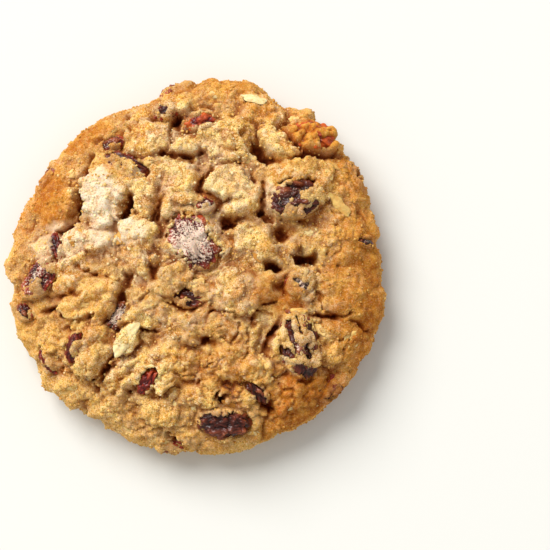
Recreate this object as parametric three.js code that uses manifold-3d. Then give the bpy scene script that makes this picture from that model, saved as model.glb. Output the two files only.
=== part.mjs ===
// An oatmeal raisin cookie, baked as a drop of stiff dough that spread into a thick, craggy round.
// The dough is one solid: a flat-bottomed round with a soft shoulder, lumps that crowd its top,
// deep valleys between them, and oat flakes fused on. Each raisin that shows is a solid of its own,
// sitting in a pocket of the dough. Millimetres, +Z up. The origin is the middle of the cookie's
// box, at the height of its flat underside.
import * as THREE from "three";
import { mergeVertices } from "three/addons/utils/BufferGeometryUtils.js";
import Module from "manifold-3d";

const wasm = await Module();
wasm.setup();

// The plain round under the relief.
const round = {
  edgeRadii: [
    42.9, 42.7, 43.2, 43.6, 42.4, 43.6, 42.9, 40.6, 40.2, 40.6, 40.4, 41.8, 43.6, 43.5, 43.2, 43.9,
    42.5, 43.1, 43.4, 43.8, 43.9, 44.3, 44.5, 44.2,
  ], // from +X, anticlockwise, at even angles
  crown: 17.2, // height of the middle
  girth: 6.8, // height of the widest line of the side
  flatShare: 0.87, // share of the radius that rests on the table
  shoulder: 3.0, // a higher power keeps the top flatter and the shoulder tighter
  facets: 15, // steps along each edge of the icosahedron that the body starts from
};

// Lumps of dough: centre, half length and half width, turn in degrees, rise above the round.
const lumps = [
  { at: [-21.4, 15.6], half: [4.7, 8.2], turn: 8, rise: 3.0 },
  { at: [-11.6, 16.6], half: [4.6, 6.6], turn: -14, rise: 2.6 },
  { at: [-11.0, 28.2], half: [6.6, 4.4], turn: 12, rise: 2.0 },
  { at: [-11.8, 34.8], half: [3.8, 3.2], turn: 0, rise: 1.2 },
  { at: [-1.6, 27.4], half: [4.4, 3.4], turn: -8, rise: 2.0 },
  { at: [-4.4, 37.2], half: [5.2, 3.8], turn: 10, rise: 2.0 },
  { at: [8.6, 40.2], half: [9.6, 3.6], turn: -4, rise: 1.4 },
  { at: [8.4, 30.2], half: [7.0, 5.2], turn: 10, rise: 2.3 },
  { at: [16.0, 34.2], half: [5.6, 4.2], turn: -12, rise: 2.2 },
  { at: [19.2, 27.0], half: [3.8, 4.2], turn: 10, rise: 3.4 },
  { at: [-3.2, 18.8], half: [5.4, 6.0], turn: 20, rise: 1.8 },
  { at: [9.2, 16.6], half: [6.6, 7.4], turn: 16, rise: 3.0 },
  { at: [24.6, 18.2], half: [8.8, 6.2], turn: -8, rise: 3.4 },
  { at: [35.4, 18.4], half: [4.8, 7.2], turn: 24, rise: 1.4 },
  { at: [-6.4, 12.6], half: [3.4, 3.0], turn: 0, rise: 1.6 },
  { at: [-13.0, 6.2], half: [4.8, 4.8], turn: 0, rise: 2.6 },
  { at: [-24.4, 4.8], half: [7.4, 3.8], turn: 10, rise: 2.2 },
  { at: [-0.4, 5.0], half: [6.6, 7.2], turn: 30, rise: 2.2 },
  { at: [14.6, 4.0], half: [6.2, 5.4], turn: -20, rise: 2.2 },
  { at: [34.4, 5.0], half: [8.2, 7.0], turn: 10, rise: 1.9 },
  { at: [-27.8, -2.8], half: [5.6, 4.8], turn: 20, rise: 2.3 },
  { at: [-20.8, -8.0], half: [6.2, 5.6], turn: -30, rise: 2.9 },
  { at: [-11.0, -0.6], half: [4.8, 3.4], turn: -10, rise: 2.0 },
  { at: [-5.4, -4.6], half: [6.0, 3.4], turn: 12, rise: 2.4 },
  { at: [-27.2, -10.8], half: [5.0, 3.8], turn: -20, rise: 1.9 },
  { at: [-10.2, -11.4], half: [5.0, 4.6], turn: 0, rise: 1.9 },
  { at: [-24.2, -19.8], half: [7.0, 7.4], turn: -20, rise: 2.8 },
  { at: [-15.4, -17.6], half: [2.6, 4.6], turn: -40, rise: 2.8 },
  { at: [-1.6, -14.2], half: [6.4, 4.8], turn: 8, rise: 2.2 },
  { at: [11.6, -7.4], half: [9.2, 5.0], turn: 8, rise: 2.9 },
  { at: [9.4, -15.4], half: [5.8, 3.6], turn: -14, rise: 1.9 },
  { at: [24.8, -5.6], half: [4.4, 4.4], turn: 0, rise: 1.7 },
  { at: [35.2, -7.2], half: [8.0, 7.6], turn: 0, rise: 1.8 },
  { at: [23.6, -18.8], half: [5.8, 8.8], turn: 12, rise: 2.9 },
  { at: [34.4, -18.4], half: [6.4, 5.8], turn: -20, rise: 1.6 },
  { at: [-8.2, -23.4], half: [9.4, 5.6], turn: 8, rise: 2.0 },
  { at: [10.2, -22.8], half: [8.4, 5.4], turn: -10, rise: 1.9 },
  { at: [-17.2, -26.4], half: [4.4, 4.6], turn: 30, rise: 1.8 },
  { at: [-19.4, -33.6], half: [4.4, 4.0], turn: 0, rise: 1.4 },
  { at: [1.8, -30.6], half: [5.6, 3.2], turn: 10, rise: 1.6 },
  { at: [13.4, -31.4], half: [3.2, 2.6], turn: 0, rise: 1.8 },
  { at: [24.2, -31.0], half: [7.8, 5.2], turn: 38, rise: 1.3 },
  { at: [-32.4, -17.6], half: [3.6, 4.0], turn: 0, rise: 1.5 },
  { at: [-28.4, -29.6], half: [4.6, 3.4], turn: -38, rise: 1.4 },
  { at: [-35.0, 3.4], half: [4.0, 3.0], turn: 20, rise: 1.4 },
  { at: [-7.6, -34.2], half: [5.0, 3.8], turn: -10, rise: 1.7 },
  { at: [-32.6, 14.2], half: [5.4, 7.0], turn: -20, rise: 1.3 },
  { at: [-24.8, 28.6], half: [10.0, 4.6], turn: 42, rise: 1.0 },
];

// Low swellings of the side, in a ring: how many, their half length, half height and rise.
const sideLumps = { count: 19, half: [5.6, 3.6], rise: 1.0, height: [7.0, 11.6] };

// Valleys and holes: centre, half length and half width, turn, depth.
const pits = [
  { at: [-14.8, 12.6], half: [2.4, 2.6], turn: 0, depth: 4.0 },
  { at: [9.4, 9.2], half: [3.6, 2.0], turn: 12, depth: 3.6 },
  { at: [20.0, 6.6], half: [4.8, 3.6], turn: -10, depth: 3.4 },
  { at: [16.2, 25.0], half: [5.2, 2.4], turn: -50, depth: 2.8 },
  { at: [3.6, 20.0], half: [5.4, 1.8], turn: 58, depth: 2.4 },
  { at: [25.8, 0.8], half: [3.2, 2.0], turn: 0, depth: 3.8 },
  { at: [17.6, -1.0], half: [2.2, 1.8], turn: 0, depth: 3.2 },
  { at: [-17.2, -11.0], half: [6.4, 2.4], turn: 64, depth: 3.4 },
  { at: [-0.8, -8.6], half: [4.2, 2.4], turn: 0, depth: 2.8 },
  { at: [-9.0, -1.6], half: [3.6, 1.8], turn: 66, depth: 2.6 },
  { at: [-8.4, 12.2], half: [4.0, 1.6], turn: 58, depth: 2.2 },
  { at: [-27.6, 12.6], half: [7.0, 1.8], turn: 74, depth: 2.6 },
  { at: [-19.8, 27.4], half: [3.8, 2.0], turn: 14, depth: 2.4 },
  { at: [-4.6, 32.8], half: [2.8, 1.6], turn: 50, depth: 2.4 },
  { at: [-2.6, 24.0], half: [6.0, 1.5], turn: 4, depth: 2.0 },
  { at: [16.4, -31.6], half: [5.4, 1.9], turn: -58, depth: 3.0 },
  { at: [6.0, -31.4], half: [1.8, 1.6], turn: 0, depth: 2.6 },
  { at: [29.8, -12.6], half: [5.4, 1.4], turn: -14, depth: 1.8 },
  { at: [-19.4, -24.6], half: [5.4, 1.5], turn: 48, depth: 2.0 },
  { at: [3.8, -18.6], half: [5.4, 1.5], turn: -28, depth: 1.8 },
  { at: [18.4, -17.0], half: [6.0, 1.6], turn: 72, depth: 2.0 },
  { at: [-3.6, -42.0], half: [4.4, 1.8], turn: 2, depth: 1.8 },
  { at: [-33.4, -11.8], half: [3.4, 1.8], turn: 20, depth: 2.0 },
];

// Raisins: centre, half length, half width and half thickness, turn, and how far the middle
// stands above the round.
const raisins = [
  { at: [-15.8, 22.4], half: [5.4, 2.6, 2.4], turn: -24, lift: 0.2 },
  { at: [-19.6, 27.6], half: [3.3, 1.9, 1.7], turn: 14, lift: -0.7 },
  { at: [-31.4, 3.4], half: [3.6, 1.6, 1.7], turn: -72, lift: 0.6 },
  { at: [-35.2, -3.6], half: [5.6, 3.2, 2.6], turn: 52, lift: 0.1 },
  { at: [-39.2, -11.2], half: [2.2, 1.7, 1.6], turn: -60, lift: 0.0 },
  { at: [-33.8, -22.4], half: [3.6, 1.4, 1.6], turn: -65, lift: 0.1 },
  { at: [-27.2, -19.6], half: [3.9, 2.0, 1.9], turn: 74, lift: 0.6 },
  { at: [-10.6, -27.4], half: [3.5, 1.8, 1.8], turn: 56, lift: 0.3 },
  { at: [-0.8, 5.2], half: [7.0, 5.2, 3.4], turn: -52, lift: -0.4 },
  { at: [1.6, 32.4], half: [3.4, 2.1, 1.9], turn: 12, lift: 0.3 },
  { at: [-7.0, 35.2], half: [2.8, 2.3, 2.0], turn: 10, lift: 0.2 },
  { at: [27.4, 29.4], half: [5.9, 3.5, 2.9], turn: -16, lift: 1.2 },
  { at: [23.4, 14.4], half: [6.2, 4.3, 3.2], turn: 12, lift: 0.8 },
  { at: [39.2, 4.9], half: [2.0, 1.5, 1.4], turn: -10, lift: 0.5 },
  { at: [24.2, -19.2], half: [8.0, 4.3, 3.2], turn: -78, lift: 0.4 },
  { at: [6.9, -36.8], half: [6.0, 3.6, 2.9], turn: -6, lift: -0.3 },
  { at: [2.6, 12.8], half: [2.3, 1.7, 1.6], turn: 10, lift: 0.8 },
  { at: [24.4, -4.8], half: [3.6, 2.9, 2.2], turn: 40, lift: 0.2 },
  { at: [-1.2, -8.2], half: [3.6, 2.5, 2.0], turn: 0, lift: -1.2 },
  { at: [-17.4, -12.6], half: [3.8, 2.3, 2.0], turn: 60, lift: -1.4 },
  { at: [14.8, -29.8], half: [3.4, 1.9, 1.8], turn: -48, lift: -0.6 },
];

// Raisins that show only from the side: compass angle from +X, height, half sizes.
const sideRaisins = [
  { angle: 28, height: 9.4, half: [4.6, 2.2, 2.0] },
  { angle: 96, height: 8.0, half: [4.4, 2.4, 2.0] },
  { angle: 150, height: 8.8, half: [4.8, 2.1, 2.0] },
  { angle: 262, height: 7.6, half: [3.4, 1.9, 1.8] },
  { angle: 318, height: 9.6, half: [4.8, 2.3, 2.0] },
];

// Oat flakes that stand out of the dough: centre, half length and half width, turn, and the tilt
// that lifts the far end of the flake.
const flakes = [
  { at: [-41.2, 3.4], half: [3.6, 1.5], turn: 60, tilt: 4 },
  { at: [-35.0, 4.4], half: [3.6, 2.1], turn: 15, tilt: 6 },
  { at: [-34.6, -10.6], half: [4.8, 2.5], turn: -80, tilt: 8 },
  { at: [-13.2, 7.0], half: [4.0, 3.2], turn: 12, tilt: 8 },
  { at: [-15.2, -17.4], half: [4.4, 2.3], turn: 52, tilt: 10 },
  { at: [-7.2, -34.2], half: [4.0, 3.2], turn: -20, tilt: 3 },
  { at: [11.8, 5.0], half: [3.6, 2.9], turn: 62, tilt: 14 },
  { at: [33.6, 13.2], half: [3.9, 2.3], turn: -40, tilt: 10 },
  { at: [13.6, 38.2], half: [2.8, 1.5], turn: 0, tilt: 6 },
  { at: [9.4, -29.8], half: [2.4, 1.6], turn: 30, tilt: 12 },
  { at: [4.6, -19.2], half: [2.8, 1.5], turn: 45, tilt: 10 },
  { at: [-22.4, -5.4], half: [3.4, 2.4], turn: 0, tilt: 5 },
  { at: [-8.2, -5.4], half: [2.6, 2.2], turn: 30, tilt: 6 },
  { at: [17.2, -4.6], half: [3.2, 2.4], turn: 20, tilt: 6 },
  { at: [24.0, -11.0], half: [3.2, 1.5], turn: -12, tilt: 8 },
  { at: [9.8, 18.6], half: [3.8, 2.6], turn: 20, tilt: 7 },
  { at: [14.2, 34.2], half: [3.2, 2.1], turn: 10, tilt: 8 },
  { at: [13.8, -36.2], half: [2.2, 2.0], turn: 0, tilt: 6 },
  { at: [-24.6, -31.6], half: [2.9, 1.8], turn: -45, tilt: 6 },
  { at: [-17.8, 16.2], half: [5.4, 1.6], turn: 84, tilt: 3 },
  { at: [31.0, -8.4], half: [2.4, 2.0], turn: 70, tilt: 7 },
];

const flake = { sides: 9, thickness: 1.1, bevel: 0.8 };
const raisinForm = { bigSteps: 2, smallSteps: 1, bigHalf: 4.9, wrinkle: 0.09, folds: 5 };
const pocketGap = 0.35; // clear space between a raisin and its pocket

// Repeatable unevenness between -1 and 1, about `size` across.
function ripple(x, y, z, size, shift) {
  const k = (2 * Math.PI) / size;
  return (
    (Math.sin(k * (0.94 * x + 0.34 * y + 0.2 * z) + shift) +
      Math.sin(1.3 * k * (-0.41 * x + 0.87 * y + 0.3 * z) + 2.1 * shift) +
      Math.sin(1.7 * k * (0.2 * x - 0.72 * y + 0.67 * z) + 4.3 * shift)) /
    3
  );
}

const radians = (degrees) => (degrees * Math.PI) / 180;

// Radius of the cookie's edge in a direction, smooth between the measured angles.
function edgeRadius(angle) {
  const list = round.edgeRadii;
  const place = (((angle / (2 * Math.PI)) % 1) + 1) % 1 * list.length;
  const i = Math.floor(place);
  const t = place - i;
  const [a, b, c, d] = [-1, 0, 1, 2].map((k) => list[(i + k + list.length) % list.length]);
  return b + 0.5 * t * (c - a + t * (2 * a - 5 * b + 4 * c - d + t * (3 * (b - c) + d - a)));
}

// Height of the plain round's top at a share of the edge radius.
function topHeight(share) {
  const fall = 1 - Math.min(share, 1) ** round.shoulder;
  return round.girth + (round.crown - round.girth) * Math.sqrt(fall);
}

// Height of its underside there: flat, then curling up to the girth.
function underHeight(share) {
  const curl = Math.max(0, (share - round.flatShare) / (1 - round.flatShare));
  return round.girth * (1 - Math.sqrt(Math.max(0, 1 - curl * curl)));
}

// The outline of half a slice, from the top's middle over the side to the bottom's middle, with
// the running area that tells how many of the sphere's facets each stretch gets.
function sliceProfile() {
  const steps = 240;
  const flatWeight = 0.12;
  const points = [];
  for (let i = 0; i <= steps; i++) {
    const share = Math.sin((Math.PI / 2) * (i / steps));
    points.push({ share, z: topHeight(share) });
  }
  for (let i = steps - 1; i >= 0; i--) {
    const share = Math.sin((Math.PI / 2) * (i / steps));
    points.push({ share, z: underHeight(share) });
  }
  const radius = round.edgeRadii[0];
  points[0].area = 0;
  for (let i = 1; i < points.length; i++) {
    const [a, b] = [points[i - 1], points[i]];
    const run = Math.hypot((b.share - a.share) * radius, b.z - a.z);
    const weight = b.z < 0.01 ? flatWeight : 1;
    b.area = a.area + run * (a.share + b.share + 0.02) * weight;
  }
  const whole = points[points.length - 1].area;
  points.forEach((p) => (p.area /= whole));
  return points;
}

const profile = sliceProfile();

// The point of the plain round that a direction on the unit sphere stands for, and its normal.
function roundPoint(nx, ny, nz) {
  const target = Math.min(1, Math.max(0, (1 - nz) / 2));
  let low = 0;
  let high = profile.length - 1;
  while (high - low > 1) {
    const middle = (low + high) >> 1;
    if (profile[middle].area <= target) low = middle;
    else high = middle;
  }
  const [a, b] = [profile[low], profile[high]];
  const t = (target - a.area) / Math.max(1e-9, b.area - a.area);
  return pointAt(Math.atan2(ny, nx), a.share + t * (b.share - a.share), a.z + t * (b.z - a.z), a, b);
}

function pointAt(angle, share, z, a, b) {
  const radius = edgeRadius(angle);
  const [out, up] = [-(b.z - a.z), (b.share - a.share) * radius];
  const length = Math.hypot(out, up) || 1;
  return {
    at: new THREE.Vector3(share * radius * Math.cos(angle), share * radius * Math.sin(angle), z),
    normal: new THREE.Vector3(
      (out / length) * Math.cos(angle),
      (out / length) * Math.sin(angle),
      up / length,
    ),
  };
}

// The point of the round's top over (x, y).
function topPoint(x, y) {
  const angle = Math.atan2(y, x);
  const share = Math.min(0.995, Math.hypot(x, y) / edgeRadius(angle));
  const step = 0.004;
  const [a, b] = [share - step, share + step].map((s) => ({ share: s, z: topHeight(s) }));
  return pointAt(angle, share, topHeight(share), a, b);
}

// The point of the round's side in a direction, at a height over the girth.
function sidePoint(degrees, height) {
  const fall = 1 - ((height - round.girth) / (round.crown - round.girth)) ** 2;
  const share = fall ** (1 / round.shoulder);
  const angle = radians(degrees);
  const radius = edgeRadius(angle);
  return topPoint(share * radius * Math.cos(angle), share * radius * Math.sin(angle));
}

// How far a point is from the middle of a lump or pit, with its edge at 1.
function reach(feature, p) {
  const [cos, sin] = [Math.cos(radians(feature.turn)), Math.sin(radians(feature.turn))];
  const [dx, dy] = [p.x - feature.at[0], p.y - feature.at[1]];
  const along = (dx * cos + dy * sin) / feature.half[0];
  const across = (dy * cos - dx * sin) / feature.half[1];
  const below = (p.z - feature.z) / feature.tall;
  return Math.sqrt(along * along + across * across + below * below);
}

[...lumps, ...pits].forEach((f) => {
  f.z = topPoint(...f.at).at.z;
  f.tall = 0.7 * (f.half[0] + f.half[1]);
});

for (let i = 0; i < sideLumps.count; i++) {
  const uneven = (shift) => ripple(i, 2.3 * i, 0, 4.7, shift);
  const degrees = (360 / sideLumps.count) * (i + 0.35 * uneven(0.4));
  const [low, high] = sideLumps.height;
  const base = sidePoint(degrees, low + (high - low) * (0.5 + 0.5 * uneven(1.9)));
  const [long, tall] = sideLumps.half.map((h) => h * (1 + 0.35 * uneven(3.1)));
  const rise = sideLumps.rise * (1 + 0.5 * uneven(5.2));
  const { x, y, z } = base.at;
  lumps.push({ at: [x, y], half: [long, tall], turn: degrees + 90, rise, z, tall });
}

// Rise of the dough over the plain round.
function relief(p) {
  const ragged = p.clone();
  ragged.x += 1.1 * ripple(p.x, p.y, p.z, 13, 0.7);
  ragged.y += 1.1 * ripple(p.x, p.y, p.z, 12, 2.9);
  let rise = 0.35 * ripple(p.x, p.y, p.z, 9, 1.3);
  for (const lump of lumps) {
    const d = reach(lump, ragged);
    if (d < 1) rise = Math.max(rise, lump.rise * Math.sqrt(1 - d ** 3));
  }
  for (const pit of pits) {
    const d = reach(pit, ragged);
    if (d < 1) rise -= pit.depth * (1 - d * d) ** 1.5;
  }
  const settled = Math.min(1, Math.max(0, p.z / 2.5)); // none where the cookie rests
  return settled * (rise + 0.3 * ripple(p.x, p.y, p.z, 5.5, 4.1));
}

function solidFrom(geometry) {
  const bare = new THREE.BufferGeometry();
  bare.setAttribute("position", geometry.getAttribute("position"));
  bare.setIndex(geometry.index);
  const merged = mergeVertices(bare, 1e-4);
  return new wasm.Manifold(
    new wasm.Mesh({
      numProp: 3,
      vertProperties: merged.attributes.position.array,
      triVerts: new Uint32Array(merged.index.array),
    }),
  );
}

function geometryFrom(solid) {
  const mesh = solid.getMesh();
  const geometry = new THREE.BufferGeometry();
  geometry.setAttribute("position", new THREE.BufferAttribute(mesh.vertProperties, 3));
  geometry.setIndex(new THREE.BufferAttribute(mesh.triVerts, 1));
  geometry.computeVertexNormals();
  return geometry;
}

function eachPoint(geometry, move) {
  const position = geometry.getAttribute("position");
  const p = new THREE.Vector3();
  for (let i = 0; i < position.count; i++) {
    p.fromBufferAttribute(position, i);
    move(p);
    position.setXYZ(i, p.x, p.y, p.z);
  }
}

function doughBody() {
  const geometry = new THREE.IcosahedronGeometry(1, round.facets);
  eachPoint(geometry, (p) => {
    const base = roundPoint(p.x, p.y, p.z);
    p.copy(base.at).addScaledVector(base.normal, relief(base.at));
  });
  return geometry;
}

// Turns local X along `turn` and local Z along the round's normal there.
function seat(base, turn, lift) {
  const z = base.normal.clone();
  const heading = new THREE.Vector3(Math.cos(radians(turn)), Math.sin(radians(turn)), 0);
  const y = new THREE.Vector3().crossVectors(z, heading).normalize();
  const x = new THREE.Vector3().crossVectors(y, z);
  const middle = base.at.clone().addScaledVector(z, lift);
  return new THREE.Matrix4().makeBasis(x, y, z).setPosition(middle);
}

function flakeGeometry({ at, half, turn, tilt }) {
  const rim = 1 - flake.bevel / 6;
  const geometry = new THREE.CylinderGeometry(rim, 1, flake.thickness, flake.sides, 1);
  geometry.rotateX(Math.PI / 2);
  geometry.scale(half[0], half[1], 1);
  geometry.rotateY(radians(-tilt));
  const base = topPoint(...at);
  const bury = 0.2; // half of a flake's thickness less this stands out of the dough
  return geometry.applyMatrix4(seat(base, turn, relief(base.at) + flake.thickness / 2 - bury));
}

// A dried grape: an uneven ellipsoid with folds that run along it.
function raisinGeometry({ half, seed, grow }) {
  const steps = half[0] > raisinForm.bigHalf ? raisinForm.bigSteps : raisinForm.smallSteps;
  const geometry = new THREE.IcosahedronGeometry(1, steps);
  eachPoint(geometry, (p) => {
    const around = Math.atan2(p.z, p.y);
    const fold = Math.sin(raisinForm.folds * around + 2.2 * p.x + seed);
    const swell = 1 + raisinForm.wrinkle * (fold + ripple(p.x, p.y, p.z, 1.9, seed));
    p.set(p.x * half[0], p.y * half[1] * swell, p.z * half[2] * swell);
    p.addScaledVector(p.clone().normalize(), grow);
  });
  return geometry;
}

function place(raisin) {
  if (raisin.at) return seat(topPoint(...raisin.at), raisin.turn, raisin.lift);
  const sunk = -0.7;
  return seat(sidePoint(raisin.angle, raisin.height), raisin.angle + 90, sunk);
}

const material = {
  dough: new THREE.MeshStandardMaterial({ color: 0xd6a262, roughness: 0.85, metalness: 0 }),
  raisin: new THREE.MeshStandardMaterial({ color: 0x4a2420, roughness: 0.45, metalness: 0 }),
};

function named(name, solid, finish) {
  const mesh = new THREE.Mesh(geometryFrom(solid), finish);
  mesh.name = name;
  return mesh;
}

const cookie = new THREE.Group();
let dough = solidFrom(doughBody());
for (const spec of flakes) dough = dough.add(solidFrom(flakeGeometry(spec)));

[...raisins, ...sideRaisins].forEach((spec, i) => {
  const matrix = place(spec);
  const seed = 1.7 * i;
  const [body, pocket] = [0, pocketGap].map((grow) =>
    solidFrom(raisinGeometry({ half: spec.half, seed, grow }).applyMatrix4(matrix)),
  );
  dough = dough.subtract(pocket);
  cookie.add(named(`raisin_${String(i + 1).padStart(2, "0")}`, body, material.raisin));
});

// Cutting the pockets can leave loose scraps of dough: the body is the largest piece.
const scraps = dough.decompose().sort((a, b) => b.volume() - a.volume());
cookie.add(named("dough", scraps[0], material.dough));

const box = new THREE.Box3().setFromObject(cookie);
const middle = box.getCenter(new THREE.Vector3());
cookie.children.forEach((piece) => piece.geometry.translate(-middle.x, -middle.y, -box.min.z));

export default cookie;
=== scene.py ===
import math
import random

import bmesh
import bpy
import numpy as np
from mathutils import Matrix, Vector, noise


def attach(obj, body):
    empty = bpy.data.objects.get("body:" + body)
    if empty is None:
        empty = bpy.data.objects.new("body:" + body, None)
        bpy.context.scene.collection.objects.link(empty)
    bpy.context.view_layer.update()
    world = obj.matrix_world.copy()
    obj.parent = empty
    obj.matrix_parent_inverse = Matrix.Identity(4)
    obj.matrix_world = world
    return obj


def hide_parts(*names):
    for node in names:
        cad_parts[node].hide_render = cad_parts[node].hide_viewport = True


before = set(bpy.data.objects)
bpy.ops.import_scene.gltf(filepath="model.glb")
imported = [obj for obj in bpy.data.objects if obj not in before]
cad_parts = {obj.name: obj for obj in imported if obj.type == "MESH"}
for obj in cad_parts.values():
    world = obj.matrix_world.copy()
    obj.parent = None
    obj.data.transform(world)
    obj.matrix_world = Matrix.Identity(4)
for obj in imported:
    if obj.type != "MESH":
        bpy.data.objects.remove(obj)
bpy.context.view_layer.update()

# Lists are in millimetres from the middle of the round. The frame's origin is the middle of the part's box.
mm = 0.001
roundMiddle = Vector((0.757, 0.286, 0))


def linear(code):
    channels = [int(code[i:i + 2], 16) / 255 for i in (1, 3, 5)]
    return tuple(c / 12.92 if c <= 0.04045 else ((c + 0.055) / 1.055) ** 2.4 for c in channels) + (1.0,)


def addNode(tree, kind, inputs=None, stops=None, **settings):
    node = tree.nodes.new(kind)
    for name, value in settings.items():
        setattr(node, name, value)
    for key, value in (inputs or {}).items():
        if isinstance(value, bpy.types.NodeSocket):
            tree.links.new(value, node.inputs[key])
        else:
            node.inputs[key].default_value = value
    if stops:  # a colour ramp's places and colours
        marks = node.color_ramp.elements
        while len(marks) < len(stops):
            marks.new(0.5)
        for mark, (place, colour) in zip(marks, stops):
            mark.position = place
            mark.color = linear(colour)
    return node


def startMaterial(name):
    material = bpy.data.materials.new(name)
    material.use_nodes = True
    material.node_tree.nodes.clear()
    place = addNode(material.node_tree, "ShaderNodeTexCoord").outputs["Object"]
    return material, material.node_tree, place


def markOf(tree, name):
    return addNode(tree, "ShaderNodeAttribute", attribute_name=name).outputs["Fac"]


def ramp(value, stops):
    return addNode(value.id_data, "ShaderNodeValToRGB", {"Fac": value}, stops=stops).outputs[0]


def blend(factor, a, b, kind="MIX"):
    a, b = (linear(colour) if isinstance(colour, str) else colour for colour in (a, b))
    return addNode(factor.id_data, "ShaderNodeMix", {0: factor, 6: a, 7: b},
                   data_type="RGBA", blend_type=kind).outputs[2]


def scaled(value, low, high, to=1.0, start=0.0):
    return addNode(value.id_data, "ShaderNodeMapRange", {
        "Value": value, "From Min": low, "From Max": high, "To Min": start, "To Max": to}).outputs[0]


def plus(a, b, kind="ADD"):
    return addNode(a.id_data, "ShaderNodeMath", {0: a, 1: b}, operation=kind).outputs[0]


def times(a, b):
    return plus(a, b, "MULTIPLY")


def pattern(place, millimetres, detail=2, rough=0.5):
    scale = 1 / (millimetres * mm)
    return addNode(place.id_data, "ShaderNodeTexNoise", {
        "Vector": place, "Scale": scale, "Detail": detail, "Roughness": rough}).outputs["Fac"]


def bumped(height, strength, depth):
    return addNode(height.id_data, "ShaderNodeBump", {
        "Height": height, "Strength": strength, "Distance": depth * mm}).outputs["Normal"]


def surface(tree, inputs):
    shader = addNode(tree, "ShaderNodeBsdfPrincipled", inputs)
    addNode(tree, "ShaderNodeOutputMaterial", {"Surface": shader.outputs["BSDF"]})


def smoothStep(low, high, value):
    t = np.clip((value - low) / (high - low), 0, 1)
    return t * t * (3 - 2 * t)


def pointsOf(bm):
    return np.array([v.co for v in bm.verts], float)


def movePoints(bm, places):
    for v, place in zip(bm.verts, places.tolist()):
        v.co = place


def toFrame(bm):
    for v in bm.verts:
        v.co = (v.co + roundMiddle) * mm


def ballOf(levels):
    bm = bmesh.new()
    bmesh.ops.create_icosphere(bm, subdivisions=levels, radius=1.0)
    return bm


def cloud(points, size, shift=0.0, octaves=1, rough=0.9):
    return np.array([noise.fractal(p, rough, 2.0, octaves) for p in (points / size + shift).tolist()])


def drift(points, size, shift=0.0):
    return np.array([noise.noise_vector(p) for p in (points / size + shift).tolist()])


def meshPiece(name, bm, material, marks=None):
    mesh = bpy.data.meshes.new(name)
    bm.to_mesh(mesh)
    bm.free()
    for label, values in (marks or {}).items():
        mesh.attributes.new(label, "FLOAT", "POINT").data.foreach_set("value", values.astype(np.float32))
    mesh.shade_smooth()
    mesh.materials.append(material)
    piece = bpy.data.objects.new(name, mesh)
    bpy.context.scene.collection.objects.link(piece)
    return piece


def shownMesh(piece):
    # a new mesh of the piece as its modifiers leave it
    bpy.context.view_layer.update()
    return bpy.data.meshes.new_from_object(piece.evaluated_get(bpy.context.evaluated_depsgraph_get()))


# The dough: the plain round under everything.
dough = {
    "edgeRadii": [42.9, 42.7, 43.2, 43.6, 42.2, 43.6, 42.6, 40.0, 40.2, 40.6, 40.4, 41.8,
                  43.6, 43.5, 43.2, 43.9, 42.5, 43.1, 43.4, 43.8, 43.9, 44.3, 44.5, 44.2],
    "crown": 17.2,
    "girth": 6.8,
    "flatShare": 0.87,
    "shoulder": 3.0,
    "melt": 0.5,
    "restHeight": 2.5,
    "roundRadius": 42.0,
    "swell": 0.3,
    "drawnOut": 0.25,
    "levels": 8,
    "sliceSteps": 241,
    "underShare": 0.12,
    "triangles": 196000,
    "seed": 7,
    "noiseSeed": 21,
}

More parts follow.
